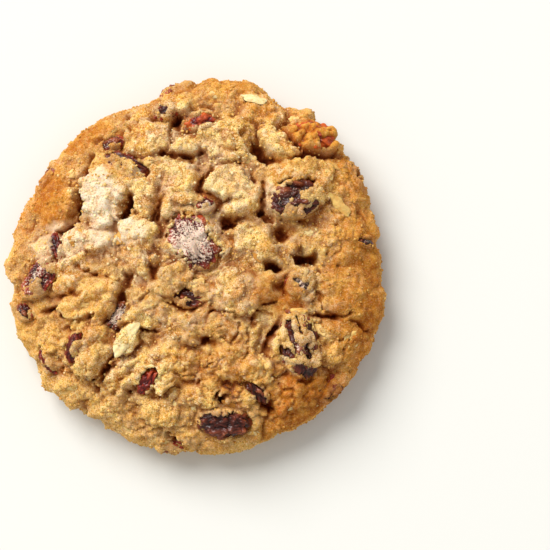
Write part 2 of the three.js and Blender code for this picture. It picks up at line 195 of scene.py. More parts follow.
# Lumps: x, y, half length, half width, turn, rise.
lumps = [
    (-21.4, 15.6, 4.7, 8.2, 8, 3.0), (-11.6, 16.6, 4.6, 6.6, -14, 2.6), (-11.0, 28.2, 6.6, 4.4, 12, 2.0),
    (-17.6, 19.4, 5.2, 3.8, -24, 3.0), (-11.8, 34.8, 3.8, 3.2, 0, 1.2), (-1.6, 27.4, 4.4, 3.4, -8, 2.0),
    (-4.4, 37.2, 5.2, 3.8, 10, 2.0), (8.6, 40.2, 9.6, 3.6, -4, 1.4), (8.4, 30.2, 7.0, 5.2, 10, 2.3),
    (16.0, 34.2, 5.6, 4.2, -12, 2.2), (19.2, 27.0, 3.8, 4.2, 10, 3.4), (-3.2, 18.8, 5.4, 6.0, 20, 1.8),
    (7.2, 18.8, 4.6, 5.2, 16, 2.6), (11.2, 13.8, 4.4, 5.0, -20, 2.7), (24.6, 18.2, 8.8, 6.2, -8, 3.4),
    (35.4, 18.4, 4.8, 7.2, 24, 1.4), (-6.4, 12.6, 3.4, 3.0, 0, 1.6), (-13.0, 6.2, 4.8, 4.8, 0, 2.6),
    (-24.4, 4.8, 7.4, 3.8, 10, 2.2), (-0.4, 5.0, 6.6, 7.2, 30, 2.2), (14.6, 4.0, 6.2, 5.4, -20, 2.2),
    (34.4, 5.0, 8.2, 7.0, 10, 1.9), (-27.8, -2.8, 5.6, 4.8, 20, 2.3), (-20.8, -8.0, 6.2, 5.6, -30, 2.9),
    (-11.0, -0.6, 4.8, 3.4, -10, 2.0), (-5.4, -4.6, 6.0, 3.4, 12, 2.0), (-27.2, -10.8, 5.0, 3.8, -20, 1.9),
    (-10.2, -11.4, 5.0, 4.6, 0, 1.9), (-24.2, -19.8, 7.0, 7.4, -20, 2.8),
    (-15.4, -17.6, 2.6, 4.6, -40, 2.8), (-1.6, -14.2, 6.4, 4.8, 8, 1.8), (11.6, -7.4, 9.2, 5.0, 8, 2.9),
    (9.4, -15.4, 5.8, 3.6, -14, 1.9), (24.8, -5.6, 4.4, 4.4, 0, 1.7), (35.2, -7.2, 8.0, 7.6, 0, 1.8),
    (23.6, -18.8, 5.8, 8.8, 12, 2.9), (34.4, -18.4, 6.4, 5.8, -20, 1.6), (-8.2, -23.4, 9.4, 5.6, 8, 2.0),
    (10.2, -22.8, 8.4, 5.4, -10, 1.9), (-17.2, -26.4, 4.4, 4.6, 30, 1.8), (-19.4, -33.6, 4.4, 4.0, 0, 1.4),
    (1.8, -30.6, 5.6, 3.2, 10, 1.6), (13.4, -31.4, 3.2, 2.6, 0, 1.8), (24.2, -31.0, 7.8, 5.2, 38, 1.3),
    (-32.4, -17.6, 3.6, 4.0, 0, 1.5), (-28.4, -29.6, 4.6, 3.4, -38, 1.4), (-35.0, 3.4, 4.0, 3.0, 20, 1.4),
    (-7.6, -34.2, 5.0, 3.8, -10, 1.7), (-32.6, 14.2, 5.4, 7.0, -20, 1.3), (-24.8, 28.6, 10.0, 4.6, 42, 1.0),
]
lumpTall = 0.7  # how tall the oval of a lump or pit is, of its length and width together
sideLumps = {"count": 26, "half": (5.2, 3.2), "rise": 0.8, "height": (6.8, 12.4)}

# Valleys and holes: x, y, half length, half width, turn, depth.
pits = [
    (-14.8, 12.6, 2.4, 2.6, 0, 4.0), (9.4, 9.2, 3.6, 2.0, 12, 2.6), (20.0, 6.6, 4.8, 3.6, -10, 3.4),
    (16.2, 25.0, 5.2, 2.4, -50, 2.8), (3.6, 20.0, 5.4, 1.8, 58, 1.6), (25.8, 0.8, 3.2, 2.0, 0, 3.8),
    (17.6, -1.0, 2.2, 1.8, 0, 3.2), (20.5, -5.5, 4.5, 3.0, -20, 2.0), (-17.2, -11.0, 6.4, 2.4, 64, 2.8),
    (-2.2, -9.4, 5.6, 3.2, 0, 4.0), (-9.0, -1.6, 4.2, 2.2, 66, 2.4), (-8.4, 12.2, 4.0, 1.6, 58, 1.3),
    (-27.6, 12.6, 7.0, 1.8, 74, 2.6), (-19.8, 27.4, 3.8, 2.0, 14, 2.4), (-4.6, 32.8, 2.8, 1.6, 50, 2.4),
    (-2.6, 24.0, 6.0, 1.5, 4, 2.0), (16.4, -31.6, 5.4, 1.9, -58, 3.0), (6.0, -31.4, 1.8, 1.6, 0, 2.6),
    (29.8, -12.6, 5.4, 1.4, -14, 1.8), (-19.4, -24.6, 5.4, 1.5, 48, 2.0), (3.8, -18.6, 5.4, 1.5, -28, 1.8),
    (18.4, -17.0, 6.0, 1.6, 72, 2.0), (-3.6, -42.0, 4.4, 1.8, 2, 1.8), (-33.4, -11.8, 3.4, 1.8, 20, 2.0),
]

# Cracks: the points they run through, half width, depth.
cracks = [
    ([(-14.8, 14.8), (-15, 12.7), (-16.2, 10.2)], 0.8, 3.4), ([(-14.6, 12.7), (-12.5, 10.9)], 0.5, 2.4),
    ([(6.5, 7.4), (8.3, 8.5), (11.3, 9)], 0.6, 2.2), ([(23.3, 0.7), (25.4, 0.9), (27.7, 0.9)], 1, 3),
    ([(27.7, 0), (28.9, -2.1)], 0.35, 1.5), ([(16.9, -1.2), (18.9, -1.2)], 0.9, 2.8),
    ([(5.1, -30.7), (6.2, -31.9)], 0.6, 2.4), ([(5.5, -30), (4.9, -31.6)], 0.3, 1.6),
    ([(11.8, 29.3), (13.6, 27), (16.2, 24.3), (19.6, 22.9)], 1.4, 2.4),
    ([(0.7, 14.3), (1.6, 18), (3.7, 21), (6.2, 22.4), (10.2, 23.6)], 0.8, 1.3),
    ([(-15, -3.7), (-15.9, -7.4), (-17.8, -12.2), (-18.9, -17.8)], 1.2, 2),
    ([(-23.8, 24.7), (-24.3, 21.5), (-24.9, 18)], 0.6, 1.5),
    ([(-25.9, 16.4), (-26.8, 12.9), (-27, 10.4)], 0.9, 2),
    ([(-27, 10.4), (-28.6, 8.5), (-31.2, 6.2)], 0.7, 1.4),
    ([(-7.4, 25.9), (-4.9, 25.2), (-0.9, 24.9), (1.8, 25.9)], 0.6, 1.7),
    ([(-6.7, 14.8), (-7.9, 12), (-8.3, 9), (-7.2, 6.2)], 0.6, 1.0),
    ([(-10.2, 1.4), (-9.7, -0.9), (-9, -3)], 0.7, 1.2),
    ([(-15.9, 34.4), (-15.5, 32.3), (-14.3, 30.3)], 0.5, 1.3),
    ([(-28.9, 17.6), (-26.8, 18.7), (-24.9, 19.4)], 0.35, 0.9),
    ([(-3.5, 34.4), (-5.3, 32.6), (-5.5, 29.6), (-4.6, 26.8)], 0.5, 1.3),
    ([(6, 26.3), (7.9, 25.6), (9.7, 26.1)], 0.35, 0.8),
    ([(28.9, -6.9), (29.3, -9.5), (30.3, -11.3), (32.8, -12), (35.6, -11.6)], 0.45, 1.3),
    ([(35.6, -13.4), (37.4, -13.6), (39.7, -15.5)], 0.4, 1),
    ([(-12.9, -15.2), (-10.9, -15.9), (-8.1, -15.7)], 0.4, 1.4),
    ([(-23.6, -27.3), (-21.5, -25.2), (-19.9, -23.1), (-18, -21)], 0.5, 1.5),
    ([(-26.3, -25.6), (-23.6, -27.7), (-21.5, -30.5), (-20.3, -32.6)], 0.45, 1),
    ([(-18.9, -30.3), (-17.6, -28.2), (-15.7, -26.6)], 0.5, 1.2),
    ([(3.5, -11.6), (6.7, -11.6), (10.4, -12.5)], 0.4, 1.2), ([(6.7, -16.9), (8.8, -18.7)], 0.5, 1.4),
    ([(14.6, -11.1), (18, -12)], 0.5, 1.3), ([(11.8, -12.7), (13.6, -14.3)], 0.9, 1.6),
    ([(10.9, -14.3), (10.4, -16.2), (9.2, -17.8)], 0.35, 1), ([(17.1, -17.3), (18.7, -15.5)], 0.5, 1.5),
    ([(3, -24.3), (4.6, -23.1)], 0.35, 1.2), ([(17.8, -34.4), (16.2, -37.4), (15.7, -40)], 0.6, 1.2),
    ([(-5.8, -40.2), (-3.5, -41.3)], 0.7, 1.6), ([(-27, -0.9), (-25.4, -1.8), (-22.6, -3)], 0.6, 1.5),
    ([(-30.3, -12.2), (-28.4, -13.6), (-25.4, -13.4), (-22.4, -11.6)], 0.5, 1.5),
    ([(9.9, 39.3), (12.5, 37.9)], 0.8, 1.2), ([(2.3, 37), (4.6, 36.5)], 0.45, 1.1),
    ([(15.7, 10.9), (18, 9.5)], 0.8, 2.6), ([(16.2, 18), (15.7, 14.6), (15.7, 10.9)], 0.5, 1.0),
    ([(16.2, -9.5), (18.7, -9.2)], 0.5, 1.2), ([(-20.1, -3.2), (-17.6, -4.4)], 0.35, 1),
    ([(-12.2, -8.5), (-10.2, -7.2)], 0.4, 1), ([(-2.1, -7.2), (0.2, -8.1)], 1.4, 1.2),
    ([(12.5, -15.5), (12.9, -19.4), (12, -21.9)], 0.35, 0.9), ([(19.9, -28.2), (22.2, -28.6)], 0.4, 0.9),
    ([(32.1, 8.8), (33.3, 4.2), (31.9, 1.4)], 0.3, 0.6), ([(25.2, -17.8), (26.8, -20.3)], 0.25, 0.5),
    ([(33.3, -17.8), (36, -16.2)], 0.35, 0.8), ([(0.9, -27), (2.3, -29.6)], 0.35, 0.8),
    ([(-4.9, -24.7), (-2.3, -26.6), (0.5, -26.1)], 0.35, 0.9), ([(-10.6, -37.4), (-7.2, -38.8)], 0.4, 0.9),
]

# Raisins: x, y, half length, half width, half thickness, turn, lift, flour on the skin, redness.
raisins = [
    (-15.8, 22.4, 5.4, 2.6, 2.4, -24, 0.2, 0.25, 0.2), (-19.6, 27.6, 3.3, 1.9, 1.7, 14, -0.7, 0.35, 0.45),
    (-31.4, 3.4, 3.6, 1.6, 1.7, -72, 0.6, 0.2, 0.45), (-35.2, -3.6, 5.6, 3.2, 2.6, 52, 0.5, 0.42, 0.5),
    (-39.2, -11.2, 2.2, 1.7, 1.6, -60, 0.0, 0.3, 0.2), (-33.8, -22.4, 3.6, 1.4, 1.6, -65, 0.1, 0.2, 0.5),
    (-27.2, -19.6, 3.9, 2.0, 1.9, 74, 0.8, 0.25, 0.45), (-10.6, -27.4, 3.5, 1.8, 1.8, 56, 0.3, 0.0, 0.7),
    (-0.2, 4.4, 7.0, 5.2, 3.4, -52, -0.4, 0.55, 0.5), (1.6, 32.4, 3.4, 2.1, 1.9, 12, 0.3, 0.1, 0.9),
    (-7.0, 35.2, 2.8, 2.3, 2.0, 10, 0.2, 0.25, 0.4), (27.0, 29.1, 5.9, 3.5, 2.9, -16, 1.0, 0.1, 1.0),
    (23.4, 14.4, 6.2, 4.3, 3.2, 12, 0.8, 0.32, 0.05), (39.2, 4.9, 2.0, 1.5, 1.4, -10, 0.5, 0.4, 0.2),
    (24.2, -19.2, 8.0, 4.3, 3.2, -78, 0.4, 0.3, 0.0), (6.9, -36.8, 6.0, 3.6, 2.9, -6, -0.3, 0.05, 0.0),
    (2.6, 12.8, 2.3, 1.7, 1.6, 10, 0.8, 0.45, 0.45), (24.4, -4.8, 3.6, 2.9, 2.2, 40, -0.2, 0.45, 0.2),
    (-1.2, -8.2, 3.6, 2.5, 2.0, 0, -1.5, 0.15, 0.3), (-17.4, -12.6, 3.8, 2.3, 2.0, 60, -1.4, 0.5, 0.15),
    (14.8, -29.8, 3.4, 1.9, 1.8, -48, -0.6, 0.05, 0.0),
]
# Raisins of the side: compass angle, height, half sizes.
sideRaisins = [
    (28, 9.4, 4.6, 2.2, 2.0), (96, 8.0, 4.4, 2.4, 2.0), (150, 8.8, 4.8, 2.1, 2.0),
    (262, 7.6, 3.4, 1.9, 1.8), (318, 9.6, 4.8, 2.3, 2.0),
]
sideSeat = {"lift": -0.7, "dust": 0.2, "red": 0.4}
# Where the dough has torn open over a raisin: points, half width.
bareStrokes = [
    ([(-19.8, 24.3), (-16.4, 24.9), (-13.4, 23.6), (-11.3, 21.3), (-10.4, 19.6)], 0.8),
    ([(-20.8, 27.5), (-17.8, 28.2)], 0.8), ([(-32.3, 6.9), (-31.4, 5.1), (-31.2, 2.8), (-31.9, 0.9)], 0.8),
    ([(-39.7, -5.8), (-37.7, -3.5), (-35.6, -1.4)], 1.3),
    ([(-35.6, -1.4), (-33.3, -3), (-32.6, -5.5)], 1.5),
    ([(-32.3, -5.5), (-31.6, -8.8), (-32.8, -10.9)], 1.1),
    ([(-40.2, -9.7), (-39, -9.5), (-38.6, -11.3)], 1),
    ([(-35.3, -19.4), (-34.2, -21.9), (-33, -24), (-32.1, -25.6)], 0.55),
    ([(-25.9, -16.6), (-27.7, -17.3), (-28.4, -19.2), (-28, -21.3), (-27, -22.9)], 0.95),
    ([(-29.6, -23.8), (-27.3, -24.7)], 0.5), ([(-9, -24.9), (-10.9, -26.8), (-12.2, -29.6)], 1.5),
    ([(-9, -25.2), (-6.9, -26.8)], 0.4), ([(-2.4, 7.4), (1.0, 3.8), (3.2, 0.2)], 3.9),
    ([(-1.6, 32.1), (0.7, 32.3), (3, 33.3)], 1.3), ([(-7.9, 35.1), (-6.2, 34.9)], 0.6),
    ([(28.6, 27.3), (32.6, 27.5)], 0.9), ([(24.3, 35.1), (24.7, 33.5)], 0.5),
    ([(26.4, 17.8), (22.8, 16.8), (20.4, 14.6), (19.6, 11.4)], 1.3), ([(17.6, 15.0), (18.0, 11.6)], 1.0),
    ([(22.8, 16.8), (23.0, 13.2)], 0.8), ([(25.8, 10.8), (28.4, 12.8)], 0.9),
    ([(19.6, 18.3), (21.8, 19.0)], 0.5), ([(37.7, 5.1), (40.4, 4.9)], 0.8),
    ([(23.6, -12.7), (24, -16.2)], 0.45), ([(26.6, -14.3), (27.7, -17.3)], 0.6),
    ([(21, -13.9), (21.9, -16.9), (23.1, -20.1)], 0.75), ([(25.2, -18.5), (25.6, -21.9)], 0.5),
    ([(18.5, -19.2), (22.2, -21.5)], 0.7), ([(23.8, -23.8), (25.9, -25.4), (28.6, -24.3)], 1.1),
    ([(24.7, -27), (27, -27.7)], 0.9), ([(3.7, -37), (7.4, -37), (11.1, -37.2)], 2.9),
    ([(1.2, 12.9), (3.9, 13.6)], 0.7), ([(23.3, -4.4), (25.4, -5.5)], 0.8),
    ([(-3.8, -7.4), (-1.8, -6.8)], 0.5), ([(-1.0, -9.4), (0.8, -9.0)], 0.4),
    ([(-18, -13.6), (-16.6, -10.4)], 1),
    ([(12.2, -28.4), (14.6, -29.6), (15.9, -31.6), (16.9, -34.2)], 0.9),
]

# The flakes that show most: x, y, half length, half width, turn, tone, how proud.
namedFlakes = [
    (-41.1, 3.2, 3.9, 1.5, 54, "gold", 0.35), (-34.9, 4.2, 3, 1.7, 20, "pale", 0),
    (-35.8, -10.6, 4.8, 2.3, -80, "orange", 0.6), (-13.2, 7.4, 4, 3.1, 12, "gold", 0.25),
    (-15.2, -17.8, 4.5, 2.2, 52, "pale", 0.3), (-8.1, -34.2, 4, 3.3, -20, "brown", 0.1),
    (11.8, 5.1, 3.4, 2.9, 62, "gold", 0.35), (33.3, 13.4, 3.4, 1.8, -40, "gold", 0.8),
    (13.6, 38.1, 3.2, 1.7, 0, "pale", 0.6), (9.5, -29.8, 2.3, 1.6, 30, "orange", 0.3),
    (4.9, -19.4, 3, 1.4, 45, "pale", 0.1), (-3.2, -8.8, 1.7, 1.2, 10, "pale", 0.1),
    (24, -11.3, 2.3, 1.1, 20, "gold", 0.2), (-22.9, -5.5, 3.2, 2.2, 0, "gold", 0),
    (-8.3, -5.5, 2.6, 2.2, 30, "gold", 0), (17.1, -4.6, 3.2, 2.4, 20, "gold", 0),
    (31, -8.5, 1.9, 1.3, 70, "gold", 0), (9.7, 19.6, 3.6, 2.6, 20, "gold", 0),
    (14.1, 34.2, 3.2, 2, 10, "orange", 0.1), (13.6, -36.3, 2.2, 1.8, 0, "gold", 0.1),
    (26.3, -31.6, 1.6, 1, -20, "pale", 0.1), (-24.5, -31.6, 2.9, 1.8, -45, "gold", 0.1),
    (-38.8, -17.8, 1.9, 1.3, -50, "orange", 0.1), (-17.6, -35.1, 2.2, 1.4, -20, "pale", 0.1),
    (-24, 13.4, 2.1, 1.5, 80, "gold", 0), (-16.9, 16.9, 5.4, 1.2, 84, "orange", 0.1),
    (-12.9, 16.9, 2.8, 2.2, 70, "gold", 0), (-15.2, 29.6, 1.4, 1.1, 60, "orange", 0.1),
]
# Where raisin juice has boiled to caramel: x, y, half length, half width, strength.
caramelSpots = [
    (27.6, 29.2, 7.0, 4.4, 1.0), (-2.6, 32.6, 3.4, 2.0, 0.9), (-38.6, -5.2, 2.6, 4.6, 0.7),
    (22.6, 34.6, 3.4, 2.6, 0.6), (8.6, -29.4, 3.0, 2.2, 0.8), (-20.4, 27.0, 4.0, 2.2, 0.5),
    (-29.0, -24.6, 2.6, 1.6, 0.5), (14.6, 34.0, 4.0, 2.4, 0.4),
]
# Paler and browner stretches of the top: x, y, half length, half width, strength.
paleSpots = [
    (-21.4, 14.4, 5.4, 7.8, 1.2), (-18, 7, 8, 5, 1.0), (-31, 4, 8, 6, 0.8), (4, 10, 6, 5, 0.6),
    (-12.9, 16.6, 4.2, 6, 0.4), (-6, 28, 6, 5, 0.4), (-1.4, 1.4, 21.9, 24.3, 0.32),
    (2.1, 23.8, 7.4, 4.2, 0.6), (9.2, 17.6, 6.9, 7.4, 0.5), (17.1, 15, 2.1, 4.6, 0.7),
    (-4.9, 19.2, 4.6, 4.6, 0.4), (-13.2, -7.4, 12, 9.2, 0.2), (0.9, 31.9, 2.3, 2.3, 0.2),
]
# Greyer stretches, added to the painted valley shade, in the same order.
duskSpots = [(-5, -7, 11, 8, 0.9), (18, -6, 9, 7, 1.1), (5, -15, 9, 8, 1.0), (-24, -20, 7, 7, 0.4)]
# Browner stretches, in the same order; the strong ones towards -Y are partly baked crust and partly painted
# shade on the lower part.
brownSpots = [
    (7, -25, 14, 7, 0.7), (-4, -7, 10, 6, 0.6), (5, -16, 8, 4, 0.6), (-20, 22, 7, 4, 0.55),
    (19, -7, 7, 6, 0.9), (19, 5, 5, 4, 0.4), (26, 7, 8, 6, 0.35), (-25, -10, 9, 9, 0.5),
    (6.7, 39.7, 10.6, 4.6, 0.4), (27.5, 29.6, 6.9, 4.2, 1), (36, -5.1, 7.9, 20.3, 0.8),
    (25.2, -31.6, 11.6, 6.9, 1), (-32.6, 12.9, 4.6, 8.3, 1), (-24.9, 29.6, 10.6, 5.1, 0.65),
    (4, -41, 12, 3.5, 0.2), (24, 23.8, 6, 2.8, 0.6), (22.4, 17, 6.5, 4.6, 0.5),
    (34.4, 19.2, 5.1, 7.9, 0.45), (21.7, -18.9, 6, 9.2, 0.3), (-38.3, -12, 4.2, 11.6, 0.5),
    (20.6, -38.6, 9.2, 4.2, 0.7), (12.5, 34.2, 5.5, 3.7, 0.4), (12.5, -27, 9.2, 6.9, 0.35),
]

# Where the rim bulges or draws in: compass angle, width in degrees, how far.
rimSteps = [
    (45, 4, -2.3), (54, 4, 2.5), (72, 6, 1.6), (85, 3, -2.2), (105, 4, -1.8), (120, 4, 0.5), (145, 3, 1.8),
    (151, 3, -1.8), (161, 4, 1.4), (169, 4, -2.0), (180, 3, 1.0), (187, 4, -1.0), (203, 7, 1.3),
    (219, 5, 1.4), (230, 3, -0.6), (252, 6, 1.0), (283, 8, 1.1), (306, 7, 1.3), (334, 4, 1.2),
    (347, 6, 1.6), (0, 5, 0.8), (12, 5, -0.8), (20, 3, 0.8),
]


# Long waves that cross one another: how much tighter, which way, how far shifted.
waves = [(1.0, (0.94, 0.34, 0.2), 1.0), (1.3, (-0.41, 0.87, 0.3), 2.1), (1.7, (0.2, -0.72, 0.67), 4.3)]


def ripple(p, size, shift):
    k = 2 * math.pi / size
    x, y, z = p.T
    total = sum(np.sin(tighter * k * (a * x + b * y + c * z) + slip * shift)
                for tighter, (a, b, c), slip in waves)
    return total / len(waves)


def edgeRadius(angle):
    radii = np.array(dough["edgeRadii"])
    place = (np.asarray(angle) / (2 * math.pi)) % 1 * len(radii)
    i = np.floor(place).astype(int)
    t = place - i
    a, b, c, d = (radii[(i + k) % len(radii)] for k in (-1, 0, 1, 2))
    return b + 0.5 * t * (c - a + t * (2 * a - 5 * b + 4 * c - d + t * (3 * (b - c) + d - a)))


def topHeight(share):
    fall = 1 - np.minimum(share, 1) ** dough["shoulder"]
    return dough["girth"] + (dough["crown"] - dough["girth"]) * np.sqrt(fall)


def underHeight(share):
    curl = np.maximum(0, (share - dough["flatShare"]) / (1 - dough["flatShare"]))
    return dough["girth"] * (1 - np.sqrt(np.maximum(0, 1 - curl * curl)))


def sliceProfile():
    # half a slice from the top's middle to the bottom's, with each stretch's share of the area
    over = np.sin(np.linspace(0, math.pi / 2, dough["sliceSteps"]))
    share = np.concatenate([over, over[-2::-1]])
    z = np.concatenate([topHeight(over), underHeight(over[-2::-1])])
    run = np.hypot(np.diff(share) * dough["edgeRadii"][0], np.diff(z))
    weight = np.where(z[1:] < 0.01, dough["underShare"], 1.0)  # few points are spent underneath
    area = np.concatenate([[0], np.cumsum(run * (share[:-1] + share[1:] + 0.02) * weight)])
    return np.stack([share, z], 1), area / area[-1]


def spreadOverRound(directions):
    # points of a ball spread evenly over the round
    outline, area = sliceProfile()
    target = np.clip((1 - directions[:, 2]) / 2, 0, 1)
    at = np.clip(np.searchsorted(area, target, side="right") - 1, 0, len(area) - 2)
    t = ((target - area[at]) / np.maximum(1e-9, area[at + 1] - area[at]))[:, None]
    a, b = outline[at], outline[at + 1]
    here = a + t * (b - a)
    return onRound(np.arctan2(directions[:, 1], directions[:, 0]), here[:, 0], here[:, 1], a, b)


def onRound(angle, share, z, a, b):
    # a point of the plain round and its normal, from the stretch a to b of the slice it lies on
    radius = edgeRadius(angle)
    out, up = -(b[..., 1] - a[..., 1]), (b[..., 0] - a[..., 0]) * radius
    length = np.hypot(out, up) + 1e-12
    cos, sin = np.cos(angle), np.sin(angle)
    base = np.stack([share * radius * cos, share * radius * sin, z * np.ones_like(radius)], -1)
    normal = np.stack([out / length * cos, out / length * sin, up / length], -1)
    return base, normal


def topPoint(x, y):
    angle = math.atan2(y, x)
    share = min(0.995, math.hypot(x, y) / float(edgeRadius(angle)))
    step = 0.004
    a, b = (np.array([s, topHeight(s)]) for s in (share - step, share + step))
    return onRound(np.array(angle), np.array(share), topHeight(share), a, b)


def sidePoint(degrees, height):
    fall = 1 - ((height - dough["girth"]) / (dough["crown"] - dough["girth"])) ** 2
    angle = math.radians(degrees)
    radius = float(edgeRadius(angle)) * fall ** (1 / dough["shoulder"])
    return topPoint(radius * math.cos(angle), radius * math.sin(angle))


def reach(p, x, y, z, half, tall, turn):
    # how far a point is from the middle of a lump or pit, with its edge at 1
    cos, sin = math.cos(math.radians(turn)), math.sin(math.radians(turn))
    dx, dy = p[:, 0] - x, p[:, 1] - y
    along, across = (dx * cos + dy * sin) / half[0], (dy * cos - dx * sin) / half[1]
    return np.sqrt(along ** 2 + across ** 2 + ((p[:, 2] - z) / tall) ** 2)


def ringOfLumps():
    # lumps around the side, none quite like the next
    ring = []
    for i in range(sideLumps["count"]):
        spot = np.array([[i, 2.3 * i, 0.0]])
        uneven = [float(ripple(spot, 4.7, shift)[0]) for shift in (0.4, 1.9, 3.1, 5.2)]
        degrees = 360 / sideLumps["count"] * (i + 0.35 * uneven[0])
        low, high = sideLumps["height"]
        at, _ = sidePoint(degrees, low + (high - low) * (0.5 + 0.5 * uneven[1]))
        long, tall = (h * (1 + 0.35 * uneven[2]) for h in sideLumps["half"])
        ring.append((*at, (long, tall), tall, degrees + 90, sideLumps["rise"] * (1 + 0.5 * uneven[3])))
    return ring


def softer(a, b, melt):
    # the higher of two heights, with the crease between them filled
    return 0.5 * (a + b + np.sqrt((a - b) ** 2 + melt ** 2)) - 0.25 * melt


def alongLine(xy, line):
    # distance from each point to a line through several points
    nearest = np.full(len(xy), 1e9)
    for a, b in zip(line[:-1], line[1:]):
        a, b = np.array(a), np.array(b)
        t = np.clip((xy - a) @ (b - a) / ((b - a) @ (b - a)), 0, 1)
        nearest = np.minimum(nearest, np.hypot(*(xy - a - t[:, None] * (b - a)).T))
    return nearest


def seat(base, normal, turn, lift):
    # local X along the turn and local Z out of the round
    z = Vector(normal)
    heading = Vector((math.cos(math.radians(turn)), math.sin(math.radians(turn)), 0))
    y = z.cross(heading).normalized()
    return np.array(y.cross(z)), np.array(y), np.array(z), base + lift * normal


def raisinSeats():
    seats = []
    for x, y, long, wide, thick, turn, lift, dust, red in raisins:
        seats.append((*seat(*topPoint(x, y), turn, lift), (long, wide, thick), lift, dust, red))
    lift = sideSeat["lift"]
    for angle, height, *half in sideRaisins:
        place = seat(*sidePoint(angle, height), angle + 90, lift)
        seats.append((*place, tuple(half), lift, sideSeat["dust"], sideSeat["red"]))
    return seats


def cells(p, size, shift):
    # distance to the nearest of many scattered points, to the edge of its cell, and a draw for it
    found = [noise.voronoi(q) for q in (p / size + shift).tolist()]
    apart = 7.3  # so that neighbours fall into different cells of the draw
    odds = np.array([noise.cell(points[0] * apart) for _, points in found])
    far = np.array([distances[:2] for distances, _ in found])
    return far[:, 0], far[:, 1] - far[:, 0], 0.5 + 0.5 * odds


def spots(p, rows):
    # the strongest of several soft ovals at each point
    strength = np.zeros(len(p))
    for x, y, long, wide, amount in rows:
        d = np.hypot((p[:, 0] - x) / long, (p[:, 1] - y) / wide)
        strength = np.maximum(strength, amount * smoothStep(1.25, 0.55, d))
    return strength


print("spreading the dough")
noise.seed_set(dough["noiseSeed"])
bm = ballOf(dough["levels"])
base, normal = spreadOverRound(pointsOf(bm))
ends = np.array([[v.index for v in e.verts] for e in bm.edges]).T
share = np.hypot(base[:, 0], base[:, 1]) / edgeRadius(np.arctan2(base[:, 1], base[:, 0]))
settled = np.clip(base[:, 2] / dough["restHeight"], 0, 1)  # no relief where the cookie rests
facing = smoothStep(0.15, 0.6, normal[:, 2])  # the top, as against the side


def evened(values, rounds):
    # each point takes the mean of its neighbours, over and over
    count = np.bincount(ends[0], minlength=len(values)) + np.bincount(ends[1], minlength=len(values))
    for _ in range(rounds):
        total = (np.bincount(ends[0], values[ends[1]], len(values))
                 + np.bincount(ends[1], values[ends[0]], len(values)))
        values = 0.5 * values + 0.5 * total / count
    return values


# Lumps and spots get ragged edges from points that have strayed a little.
stray = {
    "sway": 1.1, "swaySizes": (13, 12), "wander": 0.9, "wanderSize": 3.6, "jitter": 0.5, "jitterSize": 1.4,
}
ragged = base.copy()
ragged[:, 0] += stray["sway"] * ripple(base, stray["swaySizes"][0], 0.7)
ragged[:, 1] += stray["sway"] * ripple(base, stray["swaySizes"][1], 2.9)
ragged += (stray["wander"] * drift(base, stray["wanderSize"], 3.1)
           + stray["jitter"] * drift(base, stray["jitterSize"], 9.4))

# How wide each kind of bump in the crust is, and how far it rises.
bumps = {
    "wave": 9, "fold": 5.5, "knob": 4.4, "shard": 2.6, "clump": 2.4, "nub": 2.3, "chip": 1.15,
    "grain": 0.95, "sand": 0.85, "speck": 0.5,
}
rises = {
    "wave": 0.35, "fold": 0.25, "knob": 0.5, "shard": 1.3, "clump": 0.6, "chip": 0.07,
    "grain": 0.03, "sand": 0.05, "speck": 0.06,
}
# Pores left by steam: size, shift, chance, depth.
pores = [(2.3, 4.4, 0.06, 0.8), (1.5, 8.1, 0.04, 0.5)]

paleSpread = spots(ragged, paleSpots) * facing
brownSpread = spots(ragged, brownSpots) * facing
caramel = spots(ragged, caramelSpots) * facing
# Browned stretches spread smooth in the oven; the rest stays craggy.
calm = smoothStep(0.55, 0.95, brownSpread) + 0.4 * facing * smoothStep(0.86, 0.97, share) - caramel
calm = np.clip(calm, 0, 1)
calm *= 0.2 + 0.8 * smoothStep(-34, -18, base[:, 1])  # but hardly towards -Y
calm = np.maximum(calm, 0.8 * smoothStep(0.6, 0.9, paleSpread))
quiet = 1 - 0.8 * smoothStep(0.93, 0.99, share)  # less relief out at the rim

rise = rises["wave"] * ripple(base, bumps["wave"], 1.3)
compass = np.degrees(np.arctan2(base[:, 1], base[:, 0]))
for degrees, width, amount in rimSteps:
    away = (compass - degrees + 180) % 360 - 180
    rise += amount * np.exp(-(away / width) ** 2) * smoothStep(0.9, 0.985, share)


def raiseLump(x, y, z, half, tall, turn, height):
    # beyond its edge a lump falls away, until the dough around it is higher
    d = reach(ragged, x, y, z, half, tall, turn)
    near = d < 1.6
    rise[near] = softer(rise[near], height * (1 - d[near] ** 3), dough["melt"])


for x, y, long, wide, turn, height in lumps:
    raiseLump(x, y, topPoint(x, y)[0][2], (long, wide), lumpTall * (long + wide), turn, height)
for sideLump in ringOfLumps():
    raiseLump(*sideLump)

# Oat flakes baked into the dough: small tilted plates that break the lumps up, some showing through.
coated = {
    "count": 520, "long": (1.4, 3.4), "wide": (0.5, 0.85), "tall": 3.0, "tilt": 0.26,
    "proud": (-0.05, 0.35), "rounding": 0.6, "cap": 0.8,
    "colours": ((0, 0), (0, 0.9), (0.6, 0.3), (1, 0.3), (1, 0)),  # how creamy, how golden
}
namedColours = {"gold": (1, 0.4), "pale": (1, 0), "orange": (0.2, 1), "brown": (0, 0.5)}
oats = np.zeros(len(base))
toasted = np.zeros(len(base))


